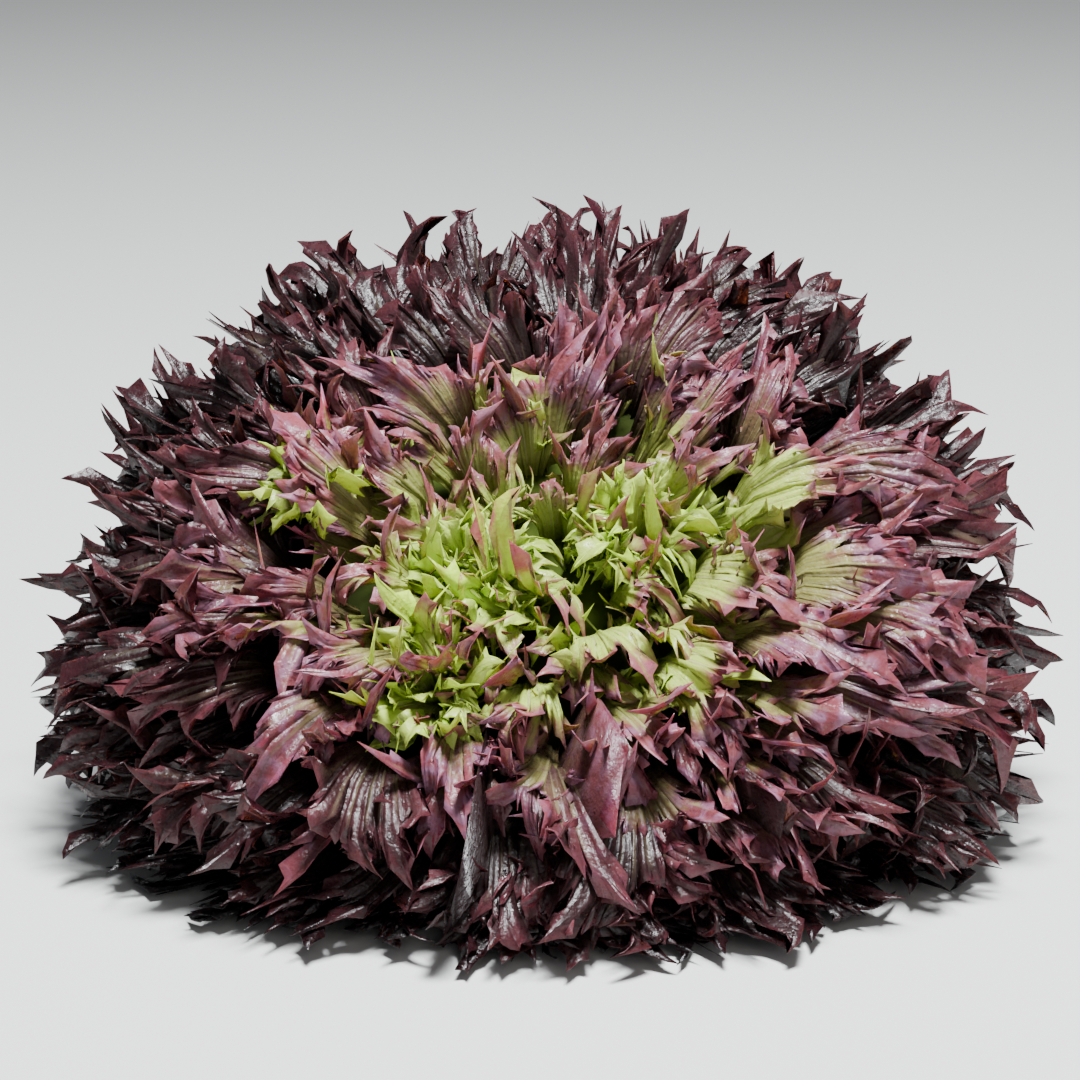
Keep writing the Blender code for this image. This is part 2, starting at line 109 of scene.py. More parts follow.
for name, place, size, watts, colour in LIGHTS:
    lamp = bpy.data.lights.new(name, "AREA")
    lamp.size = size
    lamp.energy = watts
    lamp.color = colour
    hung = bpy.data.objects.new(name, lamp)
    hung.location = place
    hung.rotation_euler = (LIGHT_AIM - place).to_track_quat("-Z", "Y").to_euler()
    bpy.context.scene.collection.objects.link(hung)
surroundings = bpy.data.worlds.new("surroundings")
surroundings.use_nodes = True
surroundings.node_tree.nodes["Background"].inputs["Color"].default_value = SURROUNDINGS
surroundings.node_tree.nodes["Background"].inputs["Strength"].default_value = 0.13
bpy.context.scene.world = surroundings
print(len(LIGHTS), "soft lights")

# %% [markdown]
# ## The form of the head
#
# A lettuce adds leaves one by one at its growing tip, each turned from the last by the golden angle, so
# they stand in spirals and no leaf stands right behind the one before it. The leaf tips reach a flattened
# ball, a little boxy in profile and dented at the heart, whose axis leans towards the camera. Leaves could
# be scattered over a ball with geometry nodes, but then they wouldn't match the collision model. So the
# few functions that place its leaves are written out again here, with the same seeds.

# %% The ball that the leaf tips reach
HEAD_RADIUS = 0.146
HEAD_HALF_HEIGHT = 0.078
HEART_DIP = 0.010
DIP_SPREAD = 0.42  # radians from the axis
SQUARENESS = 2.3  # 2 is an ellipse in profile
AXIS_LEAN = math.radians(38)
CENTRE_HEIGHT = 0.046
CENTRE_BACK = 0.001

HEAD_PLACE = Matrix.Translation((0, CENTRE_BACK, CENTRE_HEIGHT)) @ Matrix.Rotation(AXIS_LEAN, 4, "X")
INTO_HEAD = HEAD_PLACE.inverted()


def ball_point(polar, around, share=1.0):
    """A point of the head in its own axes: polar is counted from the axis, share is 1 at the tips."""
    dip = HEART_DIP * math.exp(-((polar / DIP_SPREAD) ** 2))
    power = 2 / SQUARENESS
    across = share * HEAD_RADIUS * math.sin(polar) ** power
    height = share * (HEAD_HALF_HEIGHT - dip) * math.copysign(abs(math.cos(polar)) ** power, math.cos(polar))
    return Vector((across * math.cos(around), across * math.sin(around), height))


def ball_normal(polar, around):
    across = math.sin(polar) / HEAD_RADIUS
    height = math.cos(polar) / HEAD_HALF_HEIGHT
    return Vector((across * math.cos(around), across * math.sin(around), height)).normalized()


print("heart at", [round(value, 3) for value in HEAD_PLACE @ ball_point(0, 0)])

# %% Where the leaves stand
GOLDEN_ANGLE = math.pi * (3 - math.sqrt(5))
LAST_LEAF = math.radians(118)  # how far from the axis the lowest leaves stand
HEART_CROWDING = 0.66  # under 0.5 would thin the heart out
WHORLS = (
    # whorl, leaves that the collision model has, seed, leaves added between them
    ("heart_leaves", 26, 2, 46),
    ("middle_leaves", 46, 12, 112),
    ("outer_leaves", 62, 16, 128),
    ("lowest_leaves", 38, 20, 60),
)
LEAF_TOTAL = sum(whorl[1] for whorl in WHORLS)


def leaf_polar(number):
    """How far from the axis leaf number stands, closer to its neighbours in the heart."""
    return LAST_LEAF * ((number + 0.5) / LEAF_TOTAL) ** HEART_CROWDING


print(LEAF_TOTAL, "leaves in the spiral, and", sum(whorl[3] for whorl in WHORLS), "between them")

# %% How far a leaf leans out over its foot
LEAN_HEART = 0.010
LEAN_OUTER = 0.032
FULL_LEAN = math.radians(50)


def turn_for(polar, distance):
    """The change in polar that moves a point this distance over the ball."""
    rate = math.hypot(HEAD_RADIUS * math.cos(polar), HEAD_HALF_HEIGHT * math.sin(polar))
    return distance / rate


def tip_lean(polar):
    return LEAN_HEART + (LEAN_OUTER - LEAN_HEART) * min(1.0, polar / FULL_LEAN)


def stray(draw, most):
    return draw.uniform(-most, most)


def drawn(draw, ranges):
    """A value of each range, such as how far a leaf is rolled about its midrib, its width and its cup."""
    return {key: draw.uniform(*ends) for key, ends in ranges.items()}


print("tips lean out", [round(1000 * tip_lean(polar)) for polar in (0.1, 0.5, 1.0)], "mm from the heart out")

# %% The curve of one leaf
LEAF_SEED = 1000
ROOT_DEPTH = 0.60  # share of the ball's size at which the blades start
NEAREST_LEAF = 0.04
POLAR_STRAY, AROUND_STRAY = 0.03, 0.1
LEAN_SHARE = (0.6, 1.35)
TIP_SWAY = 0.09
TIP_TURN = 0.28  # usual turn of a tip about the upright, off the straight way out
TIP_LEVEL = (0.93, 1.02)
RISE = (0.45, 0.65)  # how long a leaf stands upright, in leaf lengths
HABIT = {"roll": (-0.25, 0.25), "width": (0.85, 1.15), "cup": (-0.10, 0.15)}
WIDENED = 1.1
LOBE_COUNTS = (3, 4, 4, 4, 5)
MOST_LOBES = 4
LOBE_LENGTH = 0.015
FINE_SIZE = 0.62  # a fine fan is narrower than the solid one, and added leaves fill the room


def leaf_plan(number, seed):
    """The curve of a leaf that the collision model has too: from its foot to a bend, and on to its tip."""
    draw = random.Random(seed * LEAF_SEED + number)
    polar = max(NEAREST_LEAF, leaf_polar(number) + stray(draw, POLAR_STRAY))
    around = number * GOLDEN_ANGLE + stray(draw, AROUND_STRAY)
    sway = stray(draw, TIP_SWAY)
    tip_polar = polar + turn_for(polar, tip_lean(polar) * draw.uniform(*LEAN_SHARE))
    foot = ball_point(polar, around, ROOT_DEPTH)
    tip = ball_point(tip_polar, around + sway, draw.uniform(*TIP_LEVEL))
    upright = ball_normal(polar, around)
    bend = foot + draw.uniform(*RISE) * (tip - foot).length * upright
    plan = {
        "polar": polar,
        "around": around,
        "foot": foot,
        "bend": bend,
        "tip": bend + Matrix.Rotation(draw.gauss(0, TIP_TURN), 3, upright) @ (tip - bend),
        **drawn(draw, HABIT),
        "lobes": min(draw.choice(LOBE_COUNTS), MOST_LOBES),
        "lobe_length": LOBE_LENGTH,
        "size": FINE_SIZE,
    }
    plan["width"] *= WIDENED
    return plan


print("first leaf ends at", [round(value, 3) for value in leaf_plan(0, WHORLS[0][2])["tip"]])

# %% [markdown]
# ## Leaves between the leaves
#
# The collision model has only as many leaves as it can carry. A real head is denser, so more leaves
# grow between its leaves. They are smaller, and each is turned a little off the straight way out from
# the heart, because that is what keeps the head from looking combed. A head of this kind has no single
# heart: several tufts of young leaves stand side by side in it, each a small spiral of its own, with
# broader young leaves between them. Under the head, long wrapper leaves run from the stem to the rim,
# and loose ones hang to the board. Each kind has its own short rule with its own seeds, so that one kind
# can be changed and the others stay as they are.

# %% A leaf that stands on the ball and bends over in a given direction
ADDED_DEPTH = 0.60
ADDED_LOBES = 3
ADDED_LOBE_LENGTH = 0.014
BEND_SHARE = 0.15  # where it bends, as a share of how far it reaches over


def ball_frame(polar, around):
    """The directions on the ball: out of it, down along it from the heart, and round it."""
    out = ball_normal(polar, around)
    round_it = Vector((-math.sin(around), math.cos(around), 0.0))
    return out, round_it.cross(out), round_it


def bent_plan(polar, around, level, turn, over, drop):
    """Up from the foot to this level of the ball, then over by a distance, and down by the drop."""
    out, down, round_it = ball_frame(polar, around)
    way = math.cos(turn) * down + math.sin(turn) * round_it
    top = ball_point(polar, around, level)
    return {
        "polar": polar,
        "around": around,
        "side": out.cross(way),
        "foot": ball_point(polar, around, ADDED_DEPTH),
        "bend": top + BEND_SHARE * over * way,
        "tip": top + over * way - drop * out,
        "lobes": ADDED_LOBES,
        "lobe_length": ADDED_LOBE_LENGTH,
    }


print("added leaves have", ADDED_LOBES, "main lobes")

# %% Added leaves all over the head
ADDED_SEED = 3000
ADDED_NEAREST = 0.03
ADDED_STRAY = (0.05, 0.35)  # in polar and around
YOUNG_WITHIN = 0.8  # radians from the axis
ADDED_OVER = (0.010, 0.024)
YOUNG_SHORTER = 0.3
ADDED_DROP = (-0.2, 0.6)  # as a share of how far it reaches over
USUAL_TURN, YOUNG_TURN, MOST_TURN = 0.65, 0.3, 1.2
ADDED_LEVEL = (0.90, 1.0)
ADDED_HABIT = {"roll": (-0.9, 0.9), "width": (0.85, 1.25), "cup": (-0.3, 0.3), "size": (0.50, 0.76)}


def added_plan(number, order, seed):
    draw = random.Random(seed * ADDED_SEED + order)
    polar = max(ADDED_NEAREST, leaf_polar(number) + stray(draw, ADDED_STRAY[0]))
    around = (order + 0.5) * GOLDEN_ANGLE + stray(draw, ADDED_STRAY[1])
    young = max(0.0, 1 - polar / YOUNG_WITHIN)
    over = draw.uniform(*ADDED_OVER) * (1 - YOUNG_SHORTER * young)
    drop = draw.uniform(*ADDED_DROP) * over
    turn = max(-MOST_TURN, min(MOST_TURN, draw.gauss(0, USUAL_TURN + YOUNG_TURN * young)))
    plan = bent_plan(polar, around, draw.uniform(*ADDED_LEVEL), turn, over, drop)
    return plan | drawn(draw, ADDED_HABIT)


print("they reach over by", [round(1000 * over) for over in ADDED_OVER], "mm")

# %% Tufts of young leaves in the heart
TUFT_SEED = 5000
TUFTS = ((0.15, -0.02), (0.13, -2.40), (0.38, -2.10), (0.44, 2.86))  # polar and around
TUFT_LEAVES = 8
TUFT_TURN = 0.2
TUFT_LEVEL = (0.93, 0.97)
TUFT_DEPTH = 0.026
STAND_FIRST, STAND_STEP = 0.002, 0.0011  # how far its leaves stand from the middle of a tuft
OVER_FIRST, OVER_STEP = 0.005, 0.0016  # how far they reach on from there
FOOT_SHARE = 0.6
BEND_UP = 0.001
TUFT_DROP = 0.003
TUFT_HABIT = {"roll": (-0.4, 0.4), "width": (1.0, 1.3), "cup": (-0.5, 0.1), "size": (0.80, 1.0)}
TUFT_LOBES = 4
TUFT_LOBE_LENGTH = 0.0075
AGED_EVERY = 3  # one leaf in this many isn't fresh


def tuft_plans(number, seed):
    """A small spiral of young leaves, each one further out and longer than the last."""
    polar, around = TUFTS[number]
    out, down, round_it = ball_frame(polar, around)
    plans = []
    for order in range(TUFT_LEAVES):
        draw = random.Random(seed * TUFT_SEED + number * 100 + order)
        turn = order * GOLDEN_ANGLE + number + stray(draw, TUFT_TURN)
        way = math.cos(turn) * down + math.sin(turn) * round_it
        stand = STAND_FIRST + STAND_STEP * order
        over = OVER_FIRST + OVER_STEP * order
        top = ball_point(polar, around, draw.uniform(*TUFT_LEVEL)) + stand * way
        plan = {
            "polar": polar,
            "around": around,
            "side": out.cross(way),
            "foot": top - TUFT_DEPTH * out - FOOT_SHARE * stand * way,
            "bend": top + BEND_UP * out,
            "tip": top + over * way - stray(draw, TUFT_DROP) * out,
            **drawn(draw, TUFT_HABIT),
            "fresh": order % AGED_EVERY > 0,
            "lobes": TUFT_LOBES,
            "lobe_length": TUFT_LOBE_LENGTH,
        }
        plans.append(plan)
    return plans


print(len(TUFTS), "tufts of", TUFT_LEAVES, "leaves")

# %% Broad young leaves between the tufts
BROAD_SEED = 6000
BROAD_LEAVES = 26
BROAD_SPREAD = 0.55
BROAD_STRAY = 0.2
BROAD_OVER = (0.010, 0.018)
BROAD_LEVEL = (0.80, 0.90)
BROAD_TURN = 1.6
BROAD_DROP = (-0.2, 0.4)
BROAD_HABIT = {"roll": (-0.5, 0.5), "width": (0.9, 1.2), "cup": (-0.4, 0.4), "size": (0.75, 0.95)}
BROAD_LOBE_LENGTH = 0.008


def broad_plan(order, seed):
    draw = random.Random(seed * BROAD_SEED + order)
    polar = BROAD_SPREAD * math.sqrt((order + 0.5) / BROAD_LEAVES)
    around = order * GOLDEN_ANGLE + stray(draw, BROAD_STRAY)
    over = draw.uniform(*BROAD_OVER)
    level = draw.uniform(*BROAD_LEVEL)
    turn = stray(draw, BROAD_TURN)
    plan = bent_plan(polar, around, level, turn, over, draw.uniform(*BROAD_DROP) * over)
    return plan | drawn(draw, BROAD_HABIT) | {"lobe_length": BROAD_LOBE_LENGTH, "fresh": order % 2 == 0}


print(BROAD_LEAVES, "broad young leaves")

# %% Wrapper leaves under the head
WRAPPER_SEED = 7000
WRAPPER_COUNT = 9
WRAPPER_STRAY = 0.2  # in spaces between two of them
WRAPPER_FOOT = (2.85, 0.72)  # radians from the axis, and share of the ball's size
WRAPPER_BEND = (2.35, 1.02)
WRAPPER_RIM = (1.75, 2.0)
WRAPPER_SWAY = 0.1
WRAPPER_TIP_LEVEL = 0.98
WRAPPER_HABIT = {"roll": (-0.1, 0.1), "width": (0.75, 0.95), "cup": (0.1, 0.3)}
LARGE_LOBES = 5
LARGE_LOBE_LENGTH = 0.017


def wrapper_plan(number, seed):
    """One of the leaves that run from the stem along the underside and end at the head's rim."""
    draw = random.Random(seed * WRAPPER_SEED + number)
    around = 2 * math.pi * (number + stray(draw, WRAPPER_STRAY)) / WRAPPER_COUNT
    rim = draw.uniform(*WRAPPER_RIM)
    foot_polar, foot_level = WRAPPER_FOOT
    bend_polar, bend_level = WRAPPER_BEND
    return {
        "polar": rim,
        "around": around,
        "foot": ball_point(foot_polar, around, foot_level),
        "bend": ball_point(bend_polar, around, bend_level),
        "tip": ball_point(rim, around + stray(draw, WRAPPER_SWAY), WRAPPER_TIP_LEVEL),
        **drawn(draw, WRAPPER_HABIT),
        "lobes": LARGE_LOBES,
        "lobe_length": LARGE_LOBE_LENGTH,
    }


print(WRAPPER_COUNT, "wrapper leaves")

# %% Loose leaves behind the head
DROOP_SEED = 9000
DROOP_COUNT = 8
DROOP_FIRST = math.radians(24)  # from straight back
DROOP_LAST = math.radians(84)
DROOP_STRAY = 0.06
DROOP_FOOT = (0.030, 0.034)  # out from the ball's centre, and above the board
DROOP_BEND = 0.070
DROOP_BEND_HEIGHT = (0.020, 0.040)
DROOP_REACH = (0.088, 0.108)
DROOP_TIP_HEIGHT = 0.003
DROOP_HABIT = {"roll": (-0.15, 0.15), "width": (0.8, 1.0), "cup": (-0.1, 0.1)}


def drooping_plan(number, seed):
    """One of the loose leaves behind the stem, which hang to the board on either side of it."""
    draw = random.Random(seed * DROOP_SEED + number)
    side = -1 if number % 2 else 1
    step = number // 2 / (DROOP_COUNT / 2 - 1)
    around = math.pi / 2 + side * (DROOP_FIRST + step * (DROOP_LAST - DROOP_FIRST) + stray(draw, DROOP_STRAY))

    def at(reach, height):
        return INTO_HEAD @ Vector((reach * math.cos(around), CENTRE_BACK + reach * math.sin(around), height))

    return {
        "polar": math.pi / 2,
        "around": around,
        "foot": at(*DROOP_FOOT),
        "bend": at(DROOP_BEND, draw.uniform(*DROOP_BEND_HEIGHT)),
        "tip": at(draw.uniform(*DROOP_REACH), DROOP_TIP_HEIGHT),
        **drawn(draw, DROOP_HABIT),
        "lobes": LARGE_LOBES,
        "lobe_length": LARGE_LOBE_LENGTH,
    }


print(DROOP_COUNT, "loose leaves")

# %% [markdown]
# ## One leaf
#
# Veins fan out from the foot of a blade, and the edge between them is cut into pointed lobes with teeth
# and small spines. A leaf could be modelled once and copied, but every leaf of a real head is cut and
# bent in its own way. So a blade is worked out as a grid: columns follow the veins, and rows cross them.
# Where a column ends makes the outline, far out at a lobe's tip and far in at a notch. One row lies at
# the same height in every column, which keeps the foot of the blade smooth, and the other rows follow
# the outline. The grid is then folded along each lobe, ruffled at its edge, bent along the midrib and
# given a thickness that thins out towards the edge.

# %% Where the lobes of a blade point
MAIN_SPAN = 0.78  # how far to the sides the main lobes stand: the blade's edges are at 1
SIDE_COLUMN = 0.94  # where the low lobe on each side stands
SIDE_LOBE = 0.60  # its usual reach
SIDE_REACH = (0.85, 1.12)
COLUMN_STRAY = 0.05
SHORTER_SIDES = 0.34
LOBE_REACH = (0.86, 1.08)
OTHER_WAY = 0.75  # how often a lobe bends the other way than the one before it
TIP_BEND = (0.1, 1.0)
TIP_LIFT = 0.04
EDGE_NOTCH = 0.42
LOWEST_NOTCH = 0.36
NOTCH_DEPTH = (0.65, 1.2)
NOTCH_LIFT = 0.08


def fine_lobes(draw, lobes, depth, flare):
    """Tips and notches of a blade: its main lobes and a low lobe on each side, bent up and down by turns."""
    side = draw.choice((-1, 1))
    tips = []
    for lobe in range(-1, lobes + 1):
        if lobe in (-1, lobes):
            column = -SIDE_COLUMN if lobe < 0 else SIDE_COLUMN
            reach = SIDE_LOBE * draw.uniform(*SIDE_REACH)
        else:
            column = MAIN_SPAN * (-1 + (2 * lobe + 1) / lobes) + stray(draw, COLUMN_STRAY)
            reach = (1.0 - SHORTER_SIDES * abs(column)) * draw.uniform(*LOBE_REACH)
        side = -side if draw.random() < OTHER_WAY else side
        tips.append((column, reach, side * flare * draw.uniform(*TIP_BEND) + TIP_LIFT))
    notches = [(-1.0, EDGE_NOTCH, 0.0)]
    for left, right in zip(tips, tips[1:]):
        lower = (left[1] + right[1]) / 2 - depth * draw.uniform(*NOTCH_DEPTH)
        notches.append(((left[0] + right[0]) / 2, max(LOWEST_NOTCH, lower), stray(draw, NOTCH_LIFT)))
    notches.append((1.0, EDGE_NOTCH, 0.0))
    return tips, notches


tips, notches = fine_lobes(random.Random(1), MOST_LOBES, 0.2, 0.4)
print(len(tips), "lobes and", len(notches), "notches in a usual blade")

# %% The outline of one side of a lobe
# From the tip of a lobe (share 0) to the middle of the notch beside it (share 1): a pointed lobe with a
# tooth on its side, its neck, and a small spine that stands in the notch.
NECK = 0.60
SHARE = np.array([0.0, 0.10, 0.24, 0.41, 0.46, NECK, 0.79, 1.0])
HEIGHT = np.array([1.0, 0.84, 0.67, 0.53, 0.30, 0.04, 0.28, -0.06])
LEAN = np.array([0.0, 0.004, 0.010, 0.0, -0.004, -0.008, 0.010, 0.0])
SIDE_TOOTH = np.array([0, 0, 0, 1, 0, 0, 0, 0])
SPINE = np.array([0, 0, 0, 0, 0, 0, 1, 0])
UNEVEN = 0.03
SPINE_HEIGHT = (-0.14, 0.12)
SPINE_LIFT = 0.20
TOOTH_LEAN, TOOTH_SHARE = 0.06, (0, 1.5)
TOOTH_LIFT = 0.5  # of a spine's


def lobe_side(draw, tip, notch, middle, order, last):
    """The columns from a lobe's middle to the notch on its left (order -1) or on its right (order 1)."""
    tip_column, tip_reach = tip
    middle_reach, middle_lift = middle
    pick = np.arange(len(SHARE))
    pick = pick[::-1] if order < 0 else pick[1:]
    if order > 0 and not last:
        pick = pick[:-1]
    share = SHARE[pick]
    height = HEIGHT[pick] + SPINE[pick] * draw.uniform(*SPINE_HEIGHT)
    height = height + UNEVEN * np.array([stray(draw, 1) for _ in pick]) * (share > 0)
    return {
        "column": tip_column + (notch[0] - tip_column) * share,
        "reach": notch[1] + (tip_reach - notch[1]) * height,
        "share": share,
        "notch": middle_reach + (notch[1] - middle_reach) * share,
        "notch_lift": middle_lift + (notch[2] - middle_lift) * share,
        "lean": order * (LEAN[pick] + SIDE_TOOTH[pick] * TOOTH_LEAN * draw.uniform(*TOOTH_SHARE)),
        "spine_lift": (SPINE[pick] + TOOTH_LIFT * SIDE_TOOTH[pick]) * stray(draw, SPINE_LIFT),
    }


print(2 * len(SHARE) - 2, "columns to a lobe")

# %% The outline of a blade
MOST_DEPTH = 0.40
FOLD = (0.00, 0.03)
SWAY = 0.20
CURL = (-0.34, 0.30)


def outline(plan, draw):
    """The columns of a blade: where each stands, how far it reaches, and the lobe and notch that shape it."""
    speed = 2 * (plan["tip"] - plan["bend"]).length
    depth = min(MOST_DEPTH, plan["lobe_length"] / speed)
    tips, notches = fine_lobes(draw, plan["lobes"], depth, plan["flare"])
    folds = [draw.uniform(*FOLD) for _ in notches]
    parts = []
    for index, (tip_column, tip_reach, tip_lift) in enumerate(tips):
        left, right = notches[index], notches[index + 1]
        middle = (left[1] + right[1]) / 2, (left[2] + right[2]) / 2
        lobe = {"tip": tip_reach, "tip_lift": tip_lift}
        lobe["sway"], lobe["twist"], lobe["curl"] = stray(draw, SWAY), stray(draw, 1), draw.uniform(*CURL)
        for notch, fold, order in ((left, folds[index], -1), (right, folds[index + 1], 1)):
            last = index == len(tips) - 1
            part = lobe_side(draw, (tip_column, tip_reach), notch, middle, order, last)
            for key, value in {**lobe, "fold": fold, "order": float(order)}.items():
                part[key] = np.full(len(part["share"]), value)
            parts.append(part)
    return {key: np.concatenate([part[key] for part in parts])[:, None] for key in parts[0]}


print("lobes sway by up to", SWAY, "of a leaf's length")

# %% The flat blade
FAN_SPREAD = math.radians(64)  # of the outermost veins, from the midrib
FOOT_SPREAD = 0.30
FOOT_WIDTH = 0.10
FIRST_ROW = 0.32  # the row that all columns share, and then shares of the way on to the outline
ROWS = np.array([0, 0.42, 0.75, 1.0])
STRAIGHTEST = 1e-5  # so that a straight vein doesn't divide by nothing


def flat_fan(plan, shape):
    """The grid before it is bent: how far each point lies across the blade, up it, and along its vein."""
    column, reach = shape["column"], shape["reach"]
    along = FIRST_ROW + (reach - FIRST_ROW) * ROWS[None, :]
    along = np.concatenate([0 * reach, along], axis=1)
    turn = FAN_SPREAD * plan["width"] * column
    start = turn * FOOT_SPREAD
    rate = turn - start
    rate = np.where(np.abs(rate) < STRAIGHTEST, STRAIGHTEST, rate)
    end = start + rate * along
    x = FOOT_WIDTH * column + (np.cos(start) - np.cos(end)) / rate
    y = (np.sin(end) - np.sin(start)) / rate
    return x, y, along


print(len(ROWS) + 1, "rows in a blade")

# %% Folds, twists, curls and ruffles
LOBE_CURVE = 1.3
FOLD_ZONE = (0.35, 0.85)  # from where to where along a vein the fold deepens
RUFFLE_ZONE = (0.35, 0.9)
TWIST = 0.24


def smooth_step(low, high, value):
    share = np.clip((value - low) / (high - low), 0, 1)
    return share * share * (3 - 2 * share)


def raised(plan, shape, along, lobe, near_rim):
    """How far the points of the grid stand above the flat blade, in sizes of the blade."""
    rise = np.clip(along / shape["notch"], 0, 1) ** 2
    in_lobe = np.clip(shape["share"] / NECK, 0, 1)
    lift = shape["notch_lift"] * rise + (shape["tip_lift"] - shape["notch_lift"]) * lobe ** LOBE_CURVE
    lift = lift + shape["fold"] * in_lobe ** LOBE_CURVE * smooth_step(*FOLD_ZONE, along)
    lift = lift + TWIST * shape["twist"] * shape["order"] * in_lobe * lobe
    lift = lift + shape["curl"] * lobe ** 3 + shape["spine_lift"] * near_rim
    wave = np.sin(plan["waves"] * shape["column"] * 2 * math.pi + plan["phase"])
    wave = wave * (0.6 + 0.8 * along)
    return lift + plan["ruffle"] * wave * smooth_step(*RUFFLE_ZONE, along)


print("half way up, the ruffles have", round(float(smooth_step(*RUFFLE_ZONE, 0.5)), 2), "of their height")

# %% The bent midrib
def midrib(plan, y):
    """The midrib beside each point of the grid, and the directions sideways and out of the blade there."""
    foot, bend, point = (np.array(plan[key]) for key in ("foot", "bend", "tip"))
    share = y[..., None]
    middle = foot * (1 - share) ** 2 + bend * (2 * share * (1 - share)) + point * share ** 2
    forward = (bend - foot) * (1 - share) + (point - bend) * share
    forward = forward / np.linalg.norm(forward, axis=-1, keepdims=True)
    around = np.array(plan.get("side", (-math.sin(plan["around"]), math.cos(plan["around"]), 0.0)))
    across = around - (forward @ around)[..., None] * forward
    across = across / np.linalg.norm(across, axis=-1, keepdims=True)
    face = np.cross(forward, across)
    roll = plan["roll"] * share
    side = np.cos(roll) * across + np.sin(roll) * face
    face = np.cos(roll) * face - np.sin(roll) * across
    return middle, side, face


usual = leaf_plan(LEAF_TOTAL // 2, WHORLS[2][2])
print("a usual leaf is", round(1000 * (usual["tip"] - usual["foot"]).length), "mm long")

# %% Keeping leaves in the ball and above the board
FULL_LEVEL = 0.99
MOST_LEVEL = 0.07  # the most that a tip stands out beyond that
PRESSED_HEIGHT = 0.020
LOWEST_BLADE = 0.0008


def ball_level(points):
    """How far out points of the head lie, as a share of the ball's size."""
    across = np.hypot(points[..., 0], points[..., 1]) / HEAD_RADIUS
    height = np.abs(points[..., 2]) / HEAD_HALF_HEIGHT
    return (across ** SQUARENESS + height ** SQUARENESS) ** (1 / SQUARENESS)


def held_in(points):
    """Draws in the tips that would stand far out of the ball."""
    level = ball_level(points)
    over = np.maximum(level - FULL_LEVEL, 0)
    kept = np.minimum(level, FULL_LEVEL) + MOST_LEVEL * (1 - np.exp(-over / MOST_LEVEL))
    return points * (kept / np.maximum(level, 1e-6))[..., None]


def clear_of_board(points):
    """Presses low points up, the more the lower they are, as the board does."""
    soft = PRESSED_HEIGHT
    above = points[..., 2] - LOWEST_BLADE
    above = np.where(above < soft, soft * np.exp((np.minimum(above, soft) - soft) / soft), above)
    lifted = points.copy()
    lifted[..., 2] = LOWEST_BLADE + above
    return lifted


print("leaves are pressed below", round(1000 * PRESSED_HEIGHT), "mm")

# %% The bent grid of a blade
FAN_BREADTH = 0.022  # the breadth of a fan of no length
FAN_GROWTH = 0.55  # how much broader it gets with each length
MOST_LOBE = 1.2
SWAY_CURVE = 1.5


def blade(plan, draw):
    """The middle surface of one blade as a grid of points, with the measures that its colours need."""
    shape = outline(plan, draw)
    x, y, along = flat_fan(plan, shape)
    lobe = np.clip((along - shape["notch"]) / (shape["tip"] - shape["notch"]), 0, MOST_LOBE)
    near_rim = (along / shape["reach"]) ** 4
    lift = raised(plan, shape, along, lobe, near_rim)
    x = x + shape["sway"] * lobe ** SWAY_CURVE + shape["lean"] * near_rim
    lift = lift + plan["cup"] * x * x
    length = np.linalg.norm(np.array(plan["tip"]) - np.array(plan["foot"]))
    wide = (FAN_BREADTH + FAN_GROWTH * length) * plan.get("size", 1.0)
    middle, side, face = midrib(plan, y)
    points = held_in(middle + wide * (x[..., None] * side + lift[..., None] * face))
    level = ball_level(points)
    points = points @ np.array(HEAD_PLACE.to_3x3()).T + np.array(HEAD_PLACE.translation)
    flat = np.stack([x, y], -1) * wide * 1000
    rim = np.concatenate([flat[0, 1:], flat[:, -1], flat[-1, 1:]])
    apart = flat.reshape(-1, 1, 2) - rim.reshape(1, -1, 2)
    measures = {
        "along": np.broadcast_to(along, x.shape),
        "across": np.broadcast_to(shape["column"], x.shape),
        "margin": np.sqrt((apart ** 2).sum(-1).min(1)).reshape(x.shape),  # millimetres from the rim
        "level": level,
    }
    return clear_of_board(points), measures


print("blades are", round(1000 * FAN_BREADTH), "mm broad and more")

# %% A closed skin on both sides of the grid
BLADE_THICKNESS = 0.0006
RIM_THICKNESS = 0.00022
THICK_FROM = 5  # millimetres from the rim
RIB_DEPTH = 0.0016
RIB_WIDTH = 0.07
RIB_LENGTH = 0.6
LOWEST_SKIN = 0.0002


